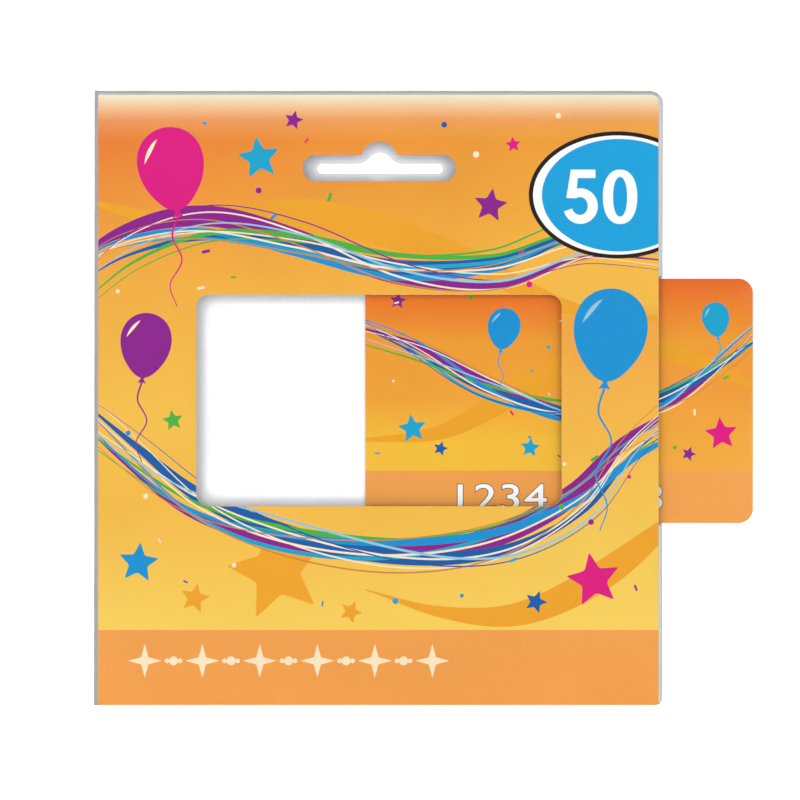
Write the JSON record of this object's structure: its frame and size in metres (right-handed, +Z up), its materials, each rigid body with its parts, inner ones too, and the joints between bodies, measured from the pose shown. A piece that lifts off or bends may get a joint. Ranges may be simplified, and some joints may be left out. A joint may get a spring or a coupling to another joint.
{
  "type": "gift card box",
  "caption": "Slim upright paperboard hang-sell carton with a die-cut window, a euro hang slot and a plastic card that slides out through its open side.",
  "frame": {"origin": "on the bottom face, below the middle of the window and midway through the carton's depth", "axes": "+Z up the carton, -Y out of the printed front, +X the way the card slides out"},
  "size_m": [0.1454, 0.0032, 0.1355],
  "materials": {
    "printed_board": "printed and varnished solid bleached board, satin",
    "white_board": "uncoated white solid bleached board",
    "guide_board": "laminated white board strips",
    "card_plastic": "printed PVC card, gloss laminate",
    "magnetic_tape": "laminated dark magnetic tape",
    "scratch_coating": "grey scratch-off coating"
  },
  "bodies": {
    "carton": {"front_panel": "printed_board", "back_panel": "white_board", "left_wall": "white_board", "top_wall": "white_board", "bottom_wall": "printed_board", "right_upper_wall": "white_board", "right_lower_wall": "white_board", "top_glue_flap": "white_board", "bottom_glue_flap": "white_board", "right_upper_glue_flap": "white_board", "right_lower_glue_flap": "white_board", "upper_guide_spacer": "guide_board", "upper_guide_lip": "guide_board", "lower_guide_spacer": "guide_board", "lower_guide_lip": "guide_board", "card_stop": "guide_board"},
    "card": {"gift_card": "card_plastic", "magnetic_stripe": "magnetic_tape", "scratch_off_panel": "scratch_coating"}
  },
  "joints": [
    {"name": "card_slide", "type": "slide", "parent": "carton", "child": "card", "axis": [1, 0, 0], "range_m": [-0.0398, 0.0584]}
  ]
}
